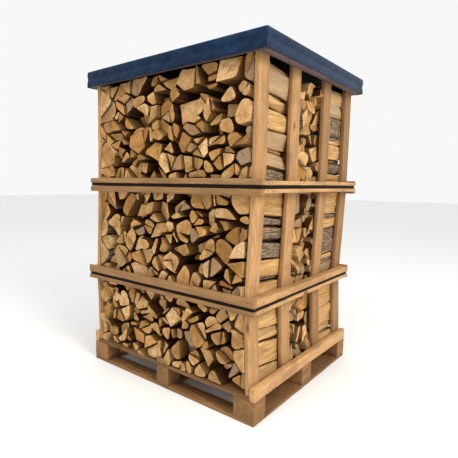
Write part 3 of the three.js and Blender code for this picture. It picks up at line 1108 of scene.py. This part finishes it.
def build_middle_row(tier, finishes):
    """Middle row of one tier: three ranks of logs lying left to right."""
    s = bpy.context.scene.crate_firewood
    node = f"tier_{tier}_firewood_middle"
    low, high = upright_box(node, tier)
    rank_length = (high.x - low.x) / RANKS
    pile = Pile("ring", "FLOAT_VECTOR")
    rng = np.random.default_rng(700 + tier)
    ranks = ((low.x, 1, True), (high.x - rank_length, -1, False), (high.x, -1, True))
    for outer, facing, outermost in ranks:

        def to_world(place):
            world = np.column_stack([outer + facing * place[:, 2], place[:, 0], place[:, 1]])
            return world, facing < 0

        cells = stack_cells((low.y, low.z), (high.y, high.z), s.round_size * 0.96, s.gap * 1.2, rng,
                            turn=0.18, squeeze=0.16)
        for cell in cells:
            start = float(np.clip(rng.normal(0.009, 0.016), -0.004, 0.08)) if outermost else RANK_GAP
            length = rank_length - start - RANK_GAP
            # about half the outermost logs keep their own side colours; the rest get a painted shade
            add_log(pile, cell, length, start, to_world, rng, fine=outermost,
                    tilt=0.05 if outermost else 0.01, shown=outermost and rng.random() < 0.5)
    pile.piece(f"logs_{tier}_middle", finishes, "firewood", node, tier=tier)


def build_firewood():
    finishes = [finish("log_end_grain", end_grain), finish("log_split_face", split_face),
                finish("log_bark", dry_bark)]
    for tier in TIERS:
        build_long_rows(tier, finishes)
        build_middle_row(tier, finishes)


# --------------------------------------------------------------------- film

TOP_LIFT = 0.0005  # the film's top clears the panel all over
SLACK = 0.78  # how far out the film hangs, as a share of the space that it has
CORNER_RADIUS, FOLD_RADIUS = 0.008, 0.007
RIM_STEP = 0.011  # between points round the rim
CORNER_STEPS = 5
TOP_RINGS = (0.1, 0.24, 0.4, 0.56, 0.7, 0.82, 0.91, 0.965, 0.99)  # as shares of the rim
SKIRT_ROWS, SKIRT_START = 15, 0.011


def ripple(s, seed, waves):
    """Smooth ripples along s, from -1 to 1, as a sum of sines of the given wavelengths."""
    rng = np.random.default_rng(seed)
    total = np.zeros_like(s)
    for wave in waves:
        total += np.sin(2 * math.pi * s / wave + rng.uniform(0, 6.28)) * rng.uniform(0.6, 1.0)
    return total / len(waves)


def film_rim(half_x, half_y):
    """Points round the lid, their outward directions, and the way round to each."""
    rim, outward = [], []
    corners = [(half_x, -half_y), (half_x, half_y), (-half_x, half_y), (-half_x, -half_y)]
    for k in range(4):
        a, b = np.array(corners[k - 1]), np.array(corners[k])
        along = (b - a) / np.linalg.norm(b - a)
        out = np.array([along[1], -along[0]])
        a, b = a + along * CORNER_RADIUS, b - along * CORNER_RADIUS
        count = int(np.linalg.norm(b - a) / RIM_STEP)
        for i in range(count):
            rim.append(a + (b - a) * i / count)
            outward.append(out)
        centre = b - out * CORNER_RADIUS
        start = math.atan2(out[1], out[0])
        for i in range(CORNER_STEPS):
            turn = start + math.pi / 2 * i / CORNER_STEPS
            direction = np.array([math.cos(turn), math.sin(turn)])
            rim.append(centre + CORNER_RADIUS * direction)
            outward.append(direction)
    rim, outward = np.array(rim), np.array(outward)
    steps = np.linalg.norm(np.roll(rim, -1, axis=0) - rim, axis=1)
    way = np.concatenate([[0], steps.cumsum()[:-1]])
    return rim, outward, way


def build_film():
    """Film stretched over the panel: a nearly flat top, rounded folds and a wrinkled skirt."""
    s = bpy.context.scene.crate_lid
    low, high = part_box("lid_film")
    panel_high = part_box("lid_panel")[1]
    stand_off = (high.x - panel_high.x) * SLACK
    rim, outward, way = film_rim(panel_high.x + stand_off, panel_high.y + stand_off)
    count = len(rim)
    skirt = high.z - low.z
    rows = []
    for share in TOP_RINGS:
        swell = 0.0011 * ripple(way * 2 + share * 3, 3, (0.9, 0.53, 0.31)) * (1 - share ** 6)
        rows.append(np.column_stack([rim * share, TOP_LIFT + high.z + swell]))
    for angle in (math.radians(turn) for turn in (25, 50, 75)):
        ring = rim - outward * FOLD_RADIUS * (1 - math.sin(angle))
        fallen = high.z - 0.0004 - FOLD_RADIUS * (1 - math.cos(angle))
        rows.append(np.column_stack([ring, np.full(count, fallen)]))
    corners = [(x * panel_high.x, y * panel_high.y) for x in (-1, 1) for y in (-1, 1)]
    nearest = np.min([np.linalg.norm(rim - corner, axis=1) for corner in corners], axis=0)
    for drop in np.linspace(SKIRT_START, skirt, SKIRT_ROWS):
        share = drop / skirt
        hollow = 0.0032 * math.sin(math.pi * min(1.0, max(0.0, (share - 0.26) / 0.5))) ** 2
        wave = ripple(way + share * 0.12, 11, (0.47, 0.19, 0.083)) * (0.35 + 0.65 * share)
        tuck = ripple(way - share * 0.22, 17, (0.06, 0.037)) * share ** 2
        flap = 0.0016 * np.clip((0.1 - share * 0.07 - nearest) / 0.006, 0, 1) * (share > 0.1)
        out = -hollow + s.wrinkle * (0.8 * wave + 0.45 * tuck) + flap + 0.0012 * share ** 3
        ragged = 0.0022 * ripple(way, 23, (0.31, 0.12, 0.05)) * share ** 4
        rows.append(np.column_stack([rim + outward * out[:, None], high.z - drop + ragged]))
    points = np.concatenate([[[0, 0, high.z + TOP_LIFT]], *rows])
    faces = [(0, 1 + i, 1 + (i + 1) % count) for i in range(count)]
    for row in range(len(rows) - 1):
        a, b = 1 + row * count, 1 + (row + 1) * count
        faces.extend((a + i, b + i, b + (i + 1) % count, a + (i + 1) % count) for i in range(count))
    mesh = bpy.data.meshes.new("film")
    mesh.from_pydata(points.tolist(), [], faces)
    mesh.shade_smooth()
    film = place_piece(mesh, "film", [finish("stretched_film", plastic_film)], "dark_film", "lid_film")
    solid = film.modifiers.new("thickness", "SOLIDIFY")
    solid.thickness = s.thickness
    solid.offset = -1


# -------------------------------------------------------------------- stage

FLOOR_HALF = 30.0
KEY_PLACE, KEY_TARGET, KEY_SIZE = (4.4, -1.3, 4.0), (0, 0, 0.85), (2.2, 2.6)
OVERHEAD_PLACE, OVERHEAD_TARGET, OVERHEAD_SIZE = (0.2, -2.9, 4.9), (0, -0.4, 0.8), (1.6, 1.6)
WARM, WHITE = (1.0, 0.965, 0.9), (1.0, 1.0, 1.0)
EYE = (1.525, -2.156, 1.119)
EYE_ANGLES = (40.65, -6.25, 0.7)  # turn, tilt and roll, in degrees
SENSOR, EYE_SHIFT = 36.0, 0.096


def build_stage():
    """Pale floor, even light, a large key light on the right, and the camera."""
    s = bpy.context.scene.crate_stage
    build_floor(s)
    world = bpy.data.worlds.new("studio")
    world.use_nodes = True
    background = world.node_tree.nodes["Background"]
    background.inputs["Color"].default_value = (*WHITE, 1.0)
    background.inputs["Strength"].default_value = s.sky
    bpy.context.scene.world = world
    add_lamp("key", s.key, KEY_SIZE, KEY_PLACE, KEY_TARGET, WARM)
    add_lamp("overhead", s.overhead, OVERHEAD_SIZE, OVERHEAD_PLACE, OVERHEAD_TARGET, WHITE)
    bpy.context.scene.view_settings.view_transform = "Standard"
    build_camera(s)


def build_floor(s):
    mesh = bpy.data.meshes.new("floor")
    corners = [(x * FLOOR_HALF, y * FLOOR_HALF, 0) for x, y in ((-1, -1), (1, -1), (1, 1), (-1, 1))]
    mesh.from_pydata(corners, [], [(0, 1, 2, 3)])
    mesh.materials.append(finish("floor", pale_floor, s.floor))
    floor = bpy.data.objects.new("floor", mesh)
    bpy.context.scene.collection.objects.link(floor)


def add_lamp(name, power, size, place, target, colour):
    """A large soft light at a place, turned to a target."""
    data = bpy.data.lights.new(name, "AREA")
    data.shape = "RECTANGLE"
    data.size, data.size_y = size
    data.energy = power
    data.color = colour
    lamp = bpy.data.objects.new(name, data)
    lamp.location = place
    lamp.rotation_euler = (Vector(target) - lamp.location).to_track_quat("-Z", "Y").to_euler()
    bpy.context.scene.collection.objects.link(lamp)


def build_camera(s):
    """Camera at about chest height, off the front right corner, turned and tilted to the crate."""
    turn, tilt, roll = (math.radians(a) for a in EYE_ANGLES)
    ahead = Vector((-math.sin(turn) * math.cos(tilt), math.cos(turn) * math.cos(tilt), math.sin(tilt)))
    level = Vector((math.cos(turn), math.sin(turn), 0))
    upward = level.cross(ahead)
    right = level * math.cos(roll) + upward * math.sin(roll)
    up = upward * math.cos(roll) - level * math.sin(roll)
    data = bpy.data.cameras.new("camera")
    data.lens, data.sensor_width = s.lens, SENSOR
    data.shift_x = EYE_SHIFT
    camera = bpy.data.objects.new("camera", data)
    camera.matrix_world = Matrix((right, up, -ahead)).transposed().to_4x4()
    camera.location = EYE
    bpy.context.scene.collection.objects.link(camera)
    bpy.context.scene.camera = camera


# ---------------------------------------------------------------- operators


class CRATE_OT_stage(bpy.types.Operator):
    """Makes the floor, the lights and the camera"""

    bl_idname = "firewood_crate.stage"
    bl_label = "Stage"

    def execute(self, context):
        build_stage()
        return {"FINISHED"}


class CRATE_OT_pallet(bpy.types.Operator):
    """Makes the pallet: bottom boards, blocks, deck boards and side beams"""

    bl_idname = "firewood_crate.pallet"
    bl_label = "Pallet"

    def execute(self, context):
        build_pallet()
        return {"FINISHED"}


class CRATE_OT_posts(bpy.types.Operator):
    """Makes the posts of every tier"""

    bl_idname = "firewood_crate.posts"
    bl_label = "Posts"

    def execute(self, context):
        build_posts()
        return {"FINISHED"}


class CRATE_OT_rails(bpy.types.Operator):
    """Makes the rings of rails round the tiers, and the dark strips in the joints"""

    bl_idname = "firewood_crate.rails"
    bl_label = "Rails"

    def execute(self, context):
        build_rails()
        return {"FINISHED"}


class CRATE_OT_nails(bpy.types.Operator):
    """Makes the nail heads"""

    bl_idname = "firewood_crate.nails"
    bl_label = "Nails"

    def execute(self, context):
        build_nails()
        return {"FINISHED"}


class CRATE_OT_firewood(bpy.types.Operator):
    """Stacks the split logs in every tier"""

    bl_idname = "firewood_crate.firewood"
    bl_label = "Firewood"

    def execute(self, context):
        build_firewood()
        return {"FINISHED"}


class CRATE_OT_lid_panel(bpy.types.Operator):
    """Makes the panel of the lid"""

    bl_idname = "firewood_crate.lid_panel"
    bl_label = "Lid panel"

    def execute(self, context):
        build_panel()
        return {"FINISHED"}


class CRATE_OT_lid_film(bpy.types.Operator):
    """Stretches the film over the lid"""

    bl_idname = "firewood_crate.lid_film"
    bl_label = "Lid film"

    def execute(self, context):
        build_film()
        return {"FINISHED"}


OPERATORS = (CRATE_OT_stage, CRATE_OT_pallet, CRATE_OT_posts, CRATE_OT_rails, CRATE_OT_nails,
             CRATE_OT_firewood, CRATE_OT_lid_panel, CRATE_OT_lid_film)
SETTINGS = {"crate_timber": TimberSettings, "crate_firewood": FirewoodSettings,
            "crate_lid": LidSettings, "crate_stage": StageSettings}


class CRATE_PT_panel(bpy.types.Panel):
    """Settings and steps of the firewood crate"""

    bl_label = "Firewood crate"
    bl_idname = "CRATE_PT_panel"
    bl_space_type = "VIEW_3D"
    bl_region_type = "UI"
    bl_category = "Firewood crate"

    def draw(self, context):
        for name in SETTINGS:
            group = getattr(context.scene, name)
            box = self.layout.box()
            for key in group.bl_rna.properties.keys():
                if key not in ("rna_type", "name"):
                    box.prop(group, key)
        for operator in OPERATORS:
            self.layout.operator(operator.bl_idname)


def register():
    for cls in (*SETTINGS.values(), *OPERATORS, CRATE_PT_panel):
        bpy.utils.register_class(cls)
    for name, cls in SETTINGS.items():
        setattr(bpy.types.Scene, name, bpy.props.PointerProperty(type=cls))


def unregister():
    for name in SETTINGS:
        delattr(bpy.types.Scene, name)
    for cls in reversed((*SETTINGS.values(), *OPERATORS, CRATE_PT_panel)):
        bpy.utils.unregister_class(cls)


def main():
    register()
    for operator in OPERATORS:
        group, step = operator.bl_idname.split(".")
        getattr(getattr(bpy.ops, group), step)()


if __name__ == "__main__":
    main()
